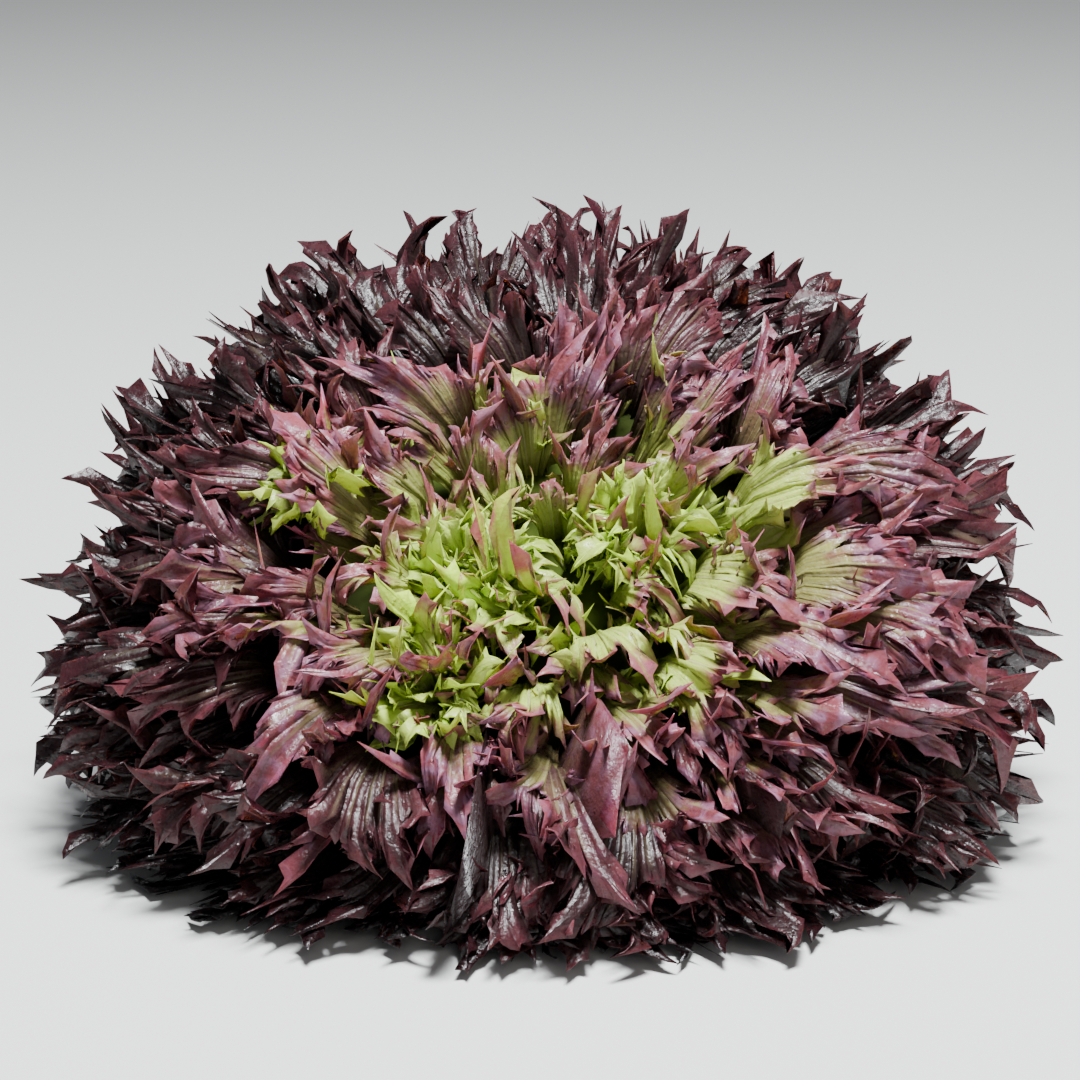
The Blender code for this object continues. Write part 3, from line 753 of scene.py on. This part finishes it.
def skin(points, measures):
    """Vertices, faces and vertex measures of a blade with an upper and a lower side."""
    cols_of, rows_of = points.shape[:2]
    normal = np.cross(np.gradient(points, axis=1), np.gradient(points, axis=0))
    size = np.linalg.norm(normal, axis=-1, keepdims=True)
    normal = -normal / np.maximum(size, 1e-12)
    inner = np.clip(measures["margin"] / THICK_FROM, 0, 1)
    depth = RIM_THICKNESS + (BLADE_THICKNESS - RIM_THICKNESS) * inner[..., None]
    rib = np.exp(-((measures["across"] / RIB_WIDTH) ** 2)) * np.clip(1 - measures["along"] / RIB_LENGTH, 0, 1)
    upper = points + normal * depth / 2
    lower = points - normal * (depth / 2 + RIB_DEPTH * rib[..., None])
    lower[..., 2] = np.maximum(lower[..., 2], LOWEST_SKIN)
    vertices = np.concatenate([upper.reshape(-1, 3), lower.reshape(-1, 3)])
    index = np.arange(cols_of * rows_of).reshape(cols_of, rows_of)
    a, b, c, d = index[:-1, :-1], index[1:, :-1], index[1:, 1:], index[:-1, 1:]
    top = np.stack([a, b, c, d], -1).reshape(-1, 4)
    offset = cols_of * rows_of
    bottom = top[:, ::-1] + offset
    loop = np.concatenate([index[:-1, 0], index[-1, :-1], index[1:, -1][::-1], index[0, 1:][::-1]])
    after = np.roll(loop, -1)
    rim = np.stack([after, loop, loop + offset, after + offset], -1)
    faces = np.concatenate([top, bottom, rim])
    values = {key: np.tile(value.reshape(-1), 2) for key, value in measures.items()}
    values["under"] = np.repeat([0.0, 1.0], offset)
    return vertices, faces, values


print("blades are", 1000 * BLADE_THICKNESS, "mm thick, and", 1000 * RIM_THICKNESS, "mm at the rim")

# %% [markdown]
# ## How old and how red a leaf is
#
# On the plant, the heart is young and green, and light turns the leaves red from their tips inwards as
# they age. In this head the green middle lies a little to the front and right, with lime leaves in a few
# spots, and the oldest leaves are at the back and low down. Leaves low down and in front are made older
# and so darker still, which paints the shade under the overhang of the head as well as their age. An
# image could be painted on the head, but then a leaf's colour wouldn't follow its own tip and edge. So
# each leaf gets an age from where it stands, and each point of it a redness from how far up the leaf and
# how near to the edge it lies. Both are stored on the mesh as named attributes, which the material reads.

# %% The age of a leaf
GREEN_CENTRE = (0.009, -0.016)
GREEN_SIDE, GREEN_FRONT, GREEN_BACK = 0.094, 0.074, 0.074  # how far the green middle reaches
# Spots where lime leaves stand, as polar and around: the tufts and some more
LIME_SPOTS = TUFTS + (
    (0.24, 0.10),
    (0.23, -1.26),
    (0.50, -1.69),
    (0.19, -1.9),
    (0.29, 2.23),
    (0.54, 0.28),
    (0.39, -0.83),
    (0.32, -2.9),
)
LIME_SIZE = 0.015
LIME_YOUNGER = 0.14
AGE_LEVEL = 0.95
YOUNGEST, AGEING, FAST_AGEING, FAST_FROM = 0.13, 0.22, 0.56, 0.9
# leaves low down and in front are made older and darker: partly real age, partly painted shade under the
# overhang of the head
LOW_FROM, LOW_AGE_AND_SHADE = 0.03, 0.45
OLDEST, FRONT_AGE_AND_SHADE = 0.86, 0.18
AGE_STRAY = 0.07


def leaf_age(plan, draw):
    """0 in the green middle of the head, and near 1 at its oldest and darkest leaves; the extra age low down
    and in front also paints the shade under the overhang of the head.
    """
    spot = ball_point(plan["polar"], plan["around"], AGE_LEVEL)
    sideways = (spot.x - GREEN_CENTRE[0]) / GREEN_SIDE
    lengthways = spot.y - GREEN_CENTRE[1]
    lengthways = lengthways / (GREEN_BACK if lengthways > 0 else GREEN_FRONT)
    away = math.hypot(sideways, lengthways)
    low = max(0.0, LOW_FROM - spot.z) / HEAD_HALF_HEIGHT
    age = YOUNGEST + AGEING * away + FAST_AGEING * max(0.0, away - FAST_FROM) + LOW_AGE_AND_SHADE * low
    nearest = min((spot - ball_point(*place, AGE_LEVEL)).length for place in LIME_SPOTS)
    age = age - LIME_YOUNGER * math.exp(-((nearest / LIME_SIZE) ** 2))
    oldest = OLDEST - FRONT_AGE_AND_SHADE * lengthways / max(away, 1e-6)
    return min(oldest, max(0.0, age + stray(draw, AGE_STRAY)))


print(len(LIME_SPOTS), "lime spots of", round(2000 * LIME_SIZE), "mm")

# %% How ruffled a leaf is
FLARE = (0.25, 0.62)
RUFFLE = (0.04, 0.10)
WAVES = (0.7, 1.5)
FRILLY_RUFFLE, FRILLY_WAVES = 0.6, 0.9
FRILLY_UNTIL = 3


def set_habit(plan, draw, age):
    """How far the lobes of a leaf bend up and down, and its ruffles: young leaves are the frilliest."""
    frilly = max(0.0, 1 - FRILLY_UNTIL * age)
    plan["flare"] = draw.uniform(*FLARE)
    plan["ruffle"] = draw.uniform(*RUFFLE) * (1.0 + FRILLY_RUFFLE * frilly)
    plan["waves"] = draw.uniform(*WAVES) * (1.0 + FRILLY_WAVES * frilly)
    plan["phase"] = draw.uniform(0, 2 * math.pi)


print("leaves older than", round(1 / FRILLY_UNTIL, 2), "aren't frilly")

# %% How red, how old and how open to the light each point is
SUNLIT = (0.62, 1.0)  # levels of the ball between which the light comes in
TIP_ZONE = (0.42, 0.92)  # along the leaf
EDGE_ZONE = (0.2, 0.5)
EDGE_WIDTH = 2.0  # millimetres
FRESH_AGE, FRESH_YOUTH = 0.4, 1.6
YOUNG_UNTIL = 0.24
RED_FROM, RED_OVER, MOST_RED = 0.1, 0.55, 0.7
FRESH_OPEN, FRESH_ZONE = 0.7, (0.7, 0.95)


def colour_measures(found, age, fresh, tint):
    """Adds to the measures of a leaf what its finish needs."""
    level = found.pop("level")
    age = FRESH_AGE * age if fresh else age
    young = FRESH_YOUTH if fresh else max(0.0, 1 - age / YOUNG_UNTIL)
    tip = smooth_step(*TIP_ZONE, found["along"]) * (0.35 + 0.65 * smooth_step(*SUNLIT, level))
    edge = np.exp(-found["margin"] / EDGE_WIDTH) * smooth_step(*EDGE_ZONE, found["along"])
    all_over = MOST_RED * min(1.0, max(0.0, age - RED_FROM) / RED_OVER)
    found["red"] = all_over + (0.76 - 0.40 * young) * tip + (0.44 - 0.22 * young) * edge
    found["old"] = age + 0.05 * tip
    if fresh:
        found["open"] = FRESH_OPEN + (1 - FRESH_OPEN) * smooth_step(*FRESH_ZONE, level)
    else:
        found["open"] = smooth_step(0.70 - 0.12 * young, 0.95 - 0.10 * young, level)
    found["tint"] = np.full(len(level), tint)


print("leaves older than", YOUNG_UNTIL, "redden fully")

# %% [markdown]
# ## Joining leaves into pieces
#
# Hundreds of loose objects would be slow to handle, and copies that share one mesh couldn't each have
# their own cut. So the leaves of one whorl are joined into a few meshes of about equal size, and each
# replaces the plain solid of its whorl.

# %% Build a piece from leaf plans
PIECE_SEED = 100


def leaf_piece(name, plans, node, seed):
    vertices, faces, values = [], [], {}
    start = 0
    for number, plan in enumerate(plans):
        draw = random.Random(seed * PIECE_SEED + number)
        age = leaf_age(plan, draw)
        set_habit(plan, draw, age)
        some, shape, found = skin(*blade(plan, draw))
        colour_measures(found, age, plan.get("fresh", False), draw.random())
        vertices.append(some)
        faces.append(shape + start)
        for key, value in found.items():
            values.setdefault(key, []).append(value)
        start += len(some)
    mesh = bpy.data.meshes.new(name)
    mesh.from_pydata(np.concatenate(vertices).tolist(), [], np.concatenate(faces).tolist())
    for key, value in values.items():
        layer = mesh.attributes.new(key, "FLOAT", "POINT")
        layer.data.foreach_set("value", np.concatenate(value).astype(np.float32))
    mesh.shade_smooth()
    piece = bpy.data.objects.new(name, mesh)
    bpy.context.scene.collection.objects.link(piece)
    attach(piece, "root")
    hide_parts(node)
    print(name, len(plans), "leaves", 2 * len(mesh.polygons), "triangles")
    return piece


# %% Leaves of every whorl
PIECE_LEAVES = 90
TUFTS_SEED = 7
PARTS_SEED = 50
pieces = {node: [] for node, _, _, _ in WHORLS}


def share_out(node, kind, plans, seed):
    """Makes one piece, or several equal ones where the leaves are too many for one."""
    parts = math.ceil(len(plans) / PIECE_LEAVES)
    for part in range(parts):
        name = f"{node}_{kind}" + (f"_{part + 1}" if parts > 1 else "")
        pieces[node].append(leaf_piece(name, plans[part::parts], node, seed + PARTS_SEED * part))


first = 0
for node, count, seed, added in WHORLS:
    plans = [leaf_plan(number, seed) for number in range(first, first + count)]
    plans += [added_plan(first + (order + 0.5) * count / added, order, seed) for order in range(added)]
    if node == "lowest_leaves":
        plans += [wrapper_plan(number, seed) for number in range(WRAPPER_COUNT)]
        plans += [drooping_plan(number, seed) for number in range(DROOP_COUNT)]
    share_out(node, "fine", plans, seed)
    if node == "heart_leaves":
        tufts = [plan for number in range(len(TUFTS)) for plan in tuft_plans(number, seed)]
        tufts += [broad_plan(order, seed) for order in range(BROAD_LEAVES)]
        share_out(node, "tufts", tufts, seed + TUFTS_SEED)
    first += count
print(sum(len(made) for made in pieces.values()), "pieces")

# %% [markdown]
# ## The inside of the head
#
# Between the leaves the eye falls on more leaves, packed tight and in shade. To model them all would
# double the work for what is hardly seen. So one crumpled body fills the inside of the head, and no light
# falls through it. It lies well below the leaf tips and is creased like folded leaves.

# %% Build the inner leaves
CORE_LEVEL = 0.67
CORE_POLARS = 46
CORE_AROUNDS = 96
CORE_CREASE = 0.05
CORE_END = 0.02  # radians from the axis
CORE_LOWEST = 0.012


def crumple(polar, around):
    """Creases that run round and down, as sines that don't repeat together."""
    broad = math.sin(7 * around + 9 * polar) * math.sin(11 * polar + 2 * around)
    narrow = math.sin(17 * around - 14 * polar) * math.sin(23 * polar + 5 * around)
    return broad + 0.6 * narrow


core_points = []
for ring in range(CORE_POLARS):
    polar = CORE_END + (math.pi - 2 * CORE_END) * ring / (CORE_POLARS - 1)
    for step in range(CORE_AROUNDS):
        around = 2 * math.pi * step / CORE_AROUNDS
        level = CORE_LEVEL + CORE_CREASE * math.sin(polar) * crumple(polar, around)
        core_points.append(HEAD_PLACE @ ball_point(polar, around, level))
core_faces = [tuple(range(CORE_AROUNDS))]
for ring in range(CORE_POLARS - 1):
    for step in range(CORE_AROUNDS):
        after = (step + 1) % CORE_AROUNDS
        here, below = ring * CORE_AROUNDS, (ring + 1) * CORE_AROUNDS
        core_faces.append((here + step, below + step, below + after, here + after))
core_faces.append(tuple(range(len(core_points) - 1, len(core_points) - 1 - CORE_AROUNDS, -1)))
for point in core_points:
    point.z = max(point.z, CORE_LOWEST)
core_mesh = bpy.data.meshes.new("inner_leaves")
core_mesh.from_pydata(core_points, [], core_faces)
core_mesh.shade_smooth()
core = bpy.data.objects.new("inner_leaves", core_mesh)
bpy.context.scene.collection.objects.link(core)
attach(core, "root")
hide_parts("middle_leaves")
print("inner leaves", [round(1000 * side) for side in core.dimensions], "mm")

# %% [markdown]
# ## Leaf colour
#
# A red lettuce leaf is green inside. Its red pigment lies over the green wherever the sun reaches, so a
# leaf runs from green at its hidden foot to wine red at its tips, and the oldest leaves are nearly black.
# One ramp from green to red can't give that, because an old leaf and a young one don't pass through the
# same colours. So there are two series by age, one for green parts and one for red parts, and the
# redness stored on the mesh mixes them. On top of that come pale veins, a pink edge, a painted lilac
# sheen that stands in for the sky's reflection on blistered waxy skin, paler undersides, and painted
# shade deep between the leaves.

# %% Small helpers for materials
def node_of(tree, kind, **settings):
    made = tree.nodes.new(kind)
    for key, value in settings.items():
        if key in made.inputs:
            made.inputs[key].default_value = value
        else:
            setattr(made, key, value)
    return made


def measure(tree, name):
    return node_of(tree, "ShaderNodeAttribute", attribute_name=name).outputs["Fac"]


def fill(tree, socket, value):
    """Sets a socket to a plain value, or links it to another node's output."""
    if isinstance(value, (int, float, tuple)):
        socket.default_value = value
    else:
        tree.links.new(value, socket)


def calculate(tree, operation, first, second, clamp):
    made = node_of(tree, "ShaderNodeMath", operation=operation, use_clamp=clamp)
    fill(tree, made.inputs[0], first)
    fill(tree, made.inputs[1], second)
    return made.outputs[0]


def times(tree, first, second):
    return calculate(tree, "MULTIPLY", first, second, False)


def plus(tree, first, second, clamp=False):
    return calculate(tree, "ADD", first, second, clamp)


def minus(tree, first, second, clamp=False):
    return calculate(tree, "SUBTRACT", first, second, clamp)


def spread(tree, value, low, high, to_low=0.0, to_high=1.0):
    """Maps the range from low to high smoothly onto another range."""
    made = node_of(tree, "ShaderNodeMapRange", interpolation_type="SMOOTHSTEP")
    tree.links.new(value, made.inputs["Value"])
    for key, number in (("From Min", low), ("From Max", high), ("To Min", to_low), ("To Max", to_high)):
        made.inputs[key].default_value = number
    return made.outputs[0]


def blend_colours(tree, share, first, second):
    made = node_of(tree, "ShaderNodeMix", data_type="RGBA", clamp_factor=True)
    for number, value in ((0, share), (6, first), (7, second)):
        fill(tree, made.inputs[number], value)
    return made.outputs[2]


def noise_of(tree, place, scale, detail, roughness):
    noise = node_of(tree, "ShaderNodeTexNoise", Scale=scale, Detail=detail, Roughness=roughness)
    tree.links.new(place, noise.inputs["Vector"])
    return noise.outputs["Fac"]


print("helpers for materials are ready")

# %% The two series of leaf colours
GREEN_SERIES = (
    (0.00, (0.60, 0.92, 0.055, 1)),  # lime, young
    (0.15, (0.52, 0.70, 0.075, 1)),
    (0.30, (0.32, 0.31, 0.070, 1)),  # olive
    (0.44, (0.15, 0.095, 0.036, 1)),  # olive brown
    (0.60, (0.034, 0.018, 0.009, 1)),
    (1.00, (0.003, 0.002, 0.002, 1)),  # nearly black
)
RED_SERIES = (
    (0.00, (0.34, 0.11, 0.07, 1)),  # blush on young leaves
    (0.20, (0.28, 0.052, 0.050, 1)),
    (0.36, (0.20, 0.027, 0.045, 1)),  # burgundy
    (0.50, (0.080, 0.010, 0.017, 1)),  # wine red
    (0.63, (0.019, 0.0035, 0.006, 1)),
    (1.00, (0.003, 0.001, 0.0015, 1)),  # nearly black
)


def colour_series(tree, value, series):
    ramp = node_of(tree, "ShaderNodeValToRGB")
    tree.links.new(value, ramp.inputs["Fac"])
    stops = ramp.color_ramp.elements
    stops[0].position, stops[0].color = series[0]
    stops[1].position, stops[1].color = series[-1]
    for position, colour in series[1:-1]:
        stops.new(position).color = colour
    return ramp.outputs["Color"]


print(len(GREEN_SERIES), "stages of green and", len(RED_SERIES), "of red")

# %% The textures that all leaves share
VEIN_WANDER = 0.35
VEIN_VARIETY = 9.0  # so that no two leaves have the same veins


def leaf_textures(tree):
    """Mottling, blisters and grain by place, veins that fan out with the columns, and drops of water."""
    place = node_of(tree, "ShaderNodeTexCoord").outputs["Object"]
    found = {
        "mottle": noise_of(tree, place, 70.0, 4.0, 0.62),
        "blister": noise_of(tree, place, 210.0, 2.0, 0.5),
        "grain": noise_of(tree, place, 700.0, 3.0, 0.6),
    }
    fan = node_of(tree, "ShaderNodeCombineXYZ")
    tree.links.new(measure(tree, "across"), fan.inputs[0])
    tree.links.new(times(tree, measure(tree, "along"), VEIN_WANDER), fan.inputs[1])
    tree.links.new(times(tree, measure(tree, "tint"), VEIN_VARIETY), fan.inputs[2])
    wave = node_of(tree, "ShaderNodeTexWave", Scale=1.5, Distortion=3.0, Detail=2.0)
    wave.inputs["Detail Scale"].default_value = 3.0
    tree.links.new(fan.outputs[0], wave.inputs["Vector"])
    found["veins"] = wave.outputs["Fac"]
    drops = node_of(tree, "ShaderNodeTexVoronoi", Scale=430.0, Randomness=1.0)
    tree.links.new(place, drops.inputs["Vector"])
    beads = spread(tree, drops.outputs["Distance"], 0.10, 0.30, 1.0, 0.0)
    found["wet"] = times(tree, beads, spread(tree, found["mottle"], 0.48, 0.60))
    return found


print("drops of water lie about", round(1000 / 430, 1), "mm apart")

# %% The colour of a leaf
MARGIN_PINK = (0.38, 0.07, 0.11, 1)
VEIN_PALE = (0.58, 0.53, 0.30, 1)
UNDERSIDE = (0.20, 0.13, 0.12, 1)
# painted sheen: the lilac of reflected sky on waxy skin, mixed into the base colour
PAINTED_LILAC_SHEEN = (0.34, 0.20, 0.36, 1)
DEEP_SHADE = (0.005, 0.004, 0.003, 1)
MOTTLING = 1.3
AGE_MOTTLING = 0.12
VEIN_GREENER = 0.25
VEIN_SHARE, PINK_SHARE, UNDER_SHARE = 0.7, 0.9, 0.5


def leaf_colour(tree, textures, painted_sheen):
    """The base colour: painted_sheen is how much painted lilac sheen, standing in for the sky's reflection,
    lies on the leaf.
    """
    margin = measure(tree, "margin")
    lines = spread(tree, textures["veins"], 0.80, 1.0)
    veins = times(tree, lines, spread(tree, margin, 0.8, 4.0))
    mottle = times(tree, minus(tree, textures["mottle"], 0.5), MOTTLING)
    redness = plus(tree, measure(tree, "red"), mottle)
    redness = minus(tree, redness, times(tree, veins, VEIN_GREENER), clamp=True)
    redness = spread(tree, redness, 0.25, 0.75)
    aged = plus(tree, measure(tree, "old"), times(tree, mottle, AGE_MOTTLING), clamp=True)
    greens = colour_series(tree, aged, GREEN_SERIES)
    colour = blend_colours(tree, redness, greens, colour_series(tree, aged, RED_SERIES))
    youth = minus(tree, 1.0, aged, clamp=True)
    youth = times(tree, youth, youth)
    colour = blend_colours(tree, times(tree, veins, times(tree, youth, VEIN_SHARE)), colour, VEIN_PALE)
    pink = times(tree, spread(tree, margin, 0.2, 1.6, 1.0, 0.0), times(tree, redness, youth))
    colour = blend_colours(tree, times(tree, pink, PINK_SHARE), colour, MARGIN_PINK)
    # painted sheen: lilac put on the blister peaks of the red parts, where the sky's reflection would glint
    sheen_spots = times(tree, redness, spread(tree, textures["blister"], 0.42, 0.66))
    middle_aged = times(tree, spread(tree, aged, 0.60, 0.30), spread(tree, aged, 0.10, 0.25))
    colour = blend_colours(tree, times(tree, times(tree, sheen_spots, middle_aged), painted_sheen), colour, PAINTED_LILAC_SHEEN)
    under = times(tree, measure(tree, "under"), times(tree, youth, UNDER_SHARE))
    colour = blend_colours(tree, under, colour, UNDERSIDE)
    deep = minus(tree, 1.0, measure(tree, "open"))
    shaded = times(tree, deep, spread(tree, aged, 0.15, 0.5, 0.30, 0.90))
    return blend_colours(tree, shaded, colour, DEEP_SHADE)


print("the margin is pink for 1.6 mm")

# %% [markdown]
# ## Gloss and relief of a leaf
#
# The skin of a leaf is glossy, finely grained and blistered between the veins, and a washed head still
# carries small drops of water, which glint. Drops could be modelled as beads, thousands of them. Here
# they are spots of a texture that are smoother and stand up a little, which looks the same from a step
# away. A leaf also lets some light in, so it gets a little subsurface scattering.

# %% The finish of a leaf
SMOOTHER, ROUGHER, WET_SMOOTHER = 0.08, 0.14, 0.18
RELIEF = (("veins", -0.05), ("blister", 1.5), ("grain", 0.8), ("wet", 0.5))
SCATTERING = (0.0020, 0.0014, 0.0006)


def leaf_finish(name, gloss, painted_sheen):
    """The finish of one whorl's leaves: gloss is its roughness, painted_sheen how much painted lilac sheen
    lies on it.
    """
    paint = bpy.data.materials.new(name)
    paint.use_nodes = True
    tree = paint.node_tree
    shader = tree.nodes["Principled BSDF"]
    textures = leaf_textures(tree)
    tree.links.new(leaf_colour(tree, textures, painted_sheen), shader.inputs["Base Color"])
    rough = spread(tree, textures["grain"], 0.35, 0.65, gloss - SMOOTHER, gloss + ROUGHER)
    rough = minus(tree, rough, times(tree, textures["wet"], WET_SMOOTHER), clamp=True)
    tree.links.new(rough, shader.inputs["Roughness"])
    (first_name, first_share), *others = RELIEF
    height = times(tree, textures[first_name], first_share)
    for texture, share in others:
        height = plus(tree, height, times(tree, textures[texture], share))
    bump = node_of(tree, "ShaderNodeBump", Strength=0.6, Distance=0.0007)
    tree.links.new(height, bump.inputs["Height"])
    tree.links.new(bump.outputs["Normal"], shader.inputs["Normal"])
    shader.inputs["Specular IOR Level"].default_value = 0.34
    shader.inputs["Subsurface Weight"].default_value = 0.10
    shader.inputs["Subsurface Radius"].default_value = SCATTERING
    shader.inputs["Subsurface Scale"].default_value = 1.0
    return paint


# %% Finish the leaves of every whorl
LEAF_FINISHES = (
    # whorl, finish, roughness, share of painted lilac sheen
    ("heart_leaves", "heart_leaf", 0.33, 0.45),
    ("middle_leaves", "middle_leaf", 0.30, 0.55),
    ("outer_leaves", "outer_leaf", 0.28, 0.55),
    ("lowest_leaves", "lowest_leaf", 0.26, 0.45),
)
for node, name, gloss, painted_sheen in LEAF_FINISHES:
    finish = leaf_finish(name, gloss, painted_sheen)
    for piece in pieces[node]:
        piece.data.materials.append(finish)
    print(name, "on", len(pieces[node]), "pieces")

# %% [markdown]
# ## The shade inside
#
# The inner leaves are seen only through gaps, in shade. They are dull green under the heart and
# nearly black further down. A real shadow would do most of that, but the body that stands for them is
# smooth, so it gets a dull finish and its own fall of colour with the distance from the heart.

# %% Finish of the inner leaves
CORE_GREEN = (0.040, 0.060, 0.006, 1)
CORE_DARK = (0.006, 0.004, 0.003, 1)
GREEN_WITHIN, DARK_BEYOND = 0.035, 0.095  # metres from the heart
CORE_STRAY = 0.03

core_paint = bpy.data.materials.new("inner_leaf")
core_paint.use_nodes = True
core_tree = core_paint.node_tree
core_shader = core_tree.nodes["Principled BSDF"]
core_place = node_of(core_tree, "ShaderNodeTexCoord").outputs["Object"]
core_noise = noise_of(core_tree, core_place, 38.0, 5.0, 0.5)
apart = node_of(core_tree, "ShaderNodeVectorMath", operation="DISTANCE")
core_tree.links.new(core_place, apart.inputs[0])
apart.inputs[1].default_value = HEAD_PLACE @ Vector((0, 0, CORE_LEVEL * HEAD_HALF_HEIGHT))
distance = plus(core_tree, apart.outputs["Value"], times(core_tree, core_noise, CORE_STRAY))
shade = spread(core_tree, distance, GREEN_WITHIN, DARK_BEYOND)
core_colour = blend_colours(core_tree, shade, CORE_GREEN, CORE_DARK)
core_tree.links.new(core_colour, core_shader.inputs["Base Color"])
core_shader.inputs["Roughness"].default_value = 0.9
core_shader.inputs["Specular IOR Level"].default_value = 0.1
core_bump = node_of(core_tree, "ShaderNodeBump", Strength=0.8, Distance=0.003)
core_tree.links.new(core_noise, core_bump.inputs["Height"])
core_tree.links.new(core_bump.outputs["Normal"], core_shader.inputs["Normal"])
core_mesh.materials.append(core_paint)
print("inner leaves are dark", round(1000 * DARK_BEYOND), "mm from the heart")

# %% [markdown]
# ## The cut stem
#
# Under the head the stem was cut with a knife. The cut face is pale and moist, and it browns in patches
# as it dries. The solid from the collision model has the right shape already, so it only gets a finish.

# %% Finish of the stem
STEM_PALE = (0.62, 0.60, 0.36, 1)
STEM_BROWN = (0.48, 0.36, 0.18, 1)

stem_paint = bpy.data.materials.new("cut_stem")
stem_paint.use_nodes = True
stem_tree = stem_paint.node_tree
stem_shader = stem_tree.nodes["Principled BSDF"]
stem_place = node_of(stem_tree, "ShaderNodeTexCoord").outputs["Object"]
stem_noise = noise_of(stem_tree, stem_place, 160.0, 4.0, 0.5)
stem_colour = blend_colours(stem_tree, spread(stem_tree, stem_noise, 0.35, 0.7), STEM_PALE, STEM_BROWN)
stem_tree.links.new(stem_colour, stem_shader.inputs["Base Color"])
stem_shader.inputs["Roughness"].default_value = 0.45
stem_bump = node_of(stem_tree, "ShaderNodeBump", Strength=0.4, Distance=0.0008)
stem_tree.links.new(stem_noise, stem_bump.inputs["Height"])
stem_tree.links.new(stem_bump.outputs["Normal"], stem_shader.inputs["Normal"])
stem = bpy.data.objects["stem_butt"]
for slot in stem.material_slots:
    slot.material = stem_paint
print("stem slots", len(stem.material_slots))
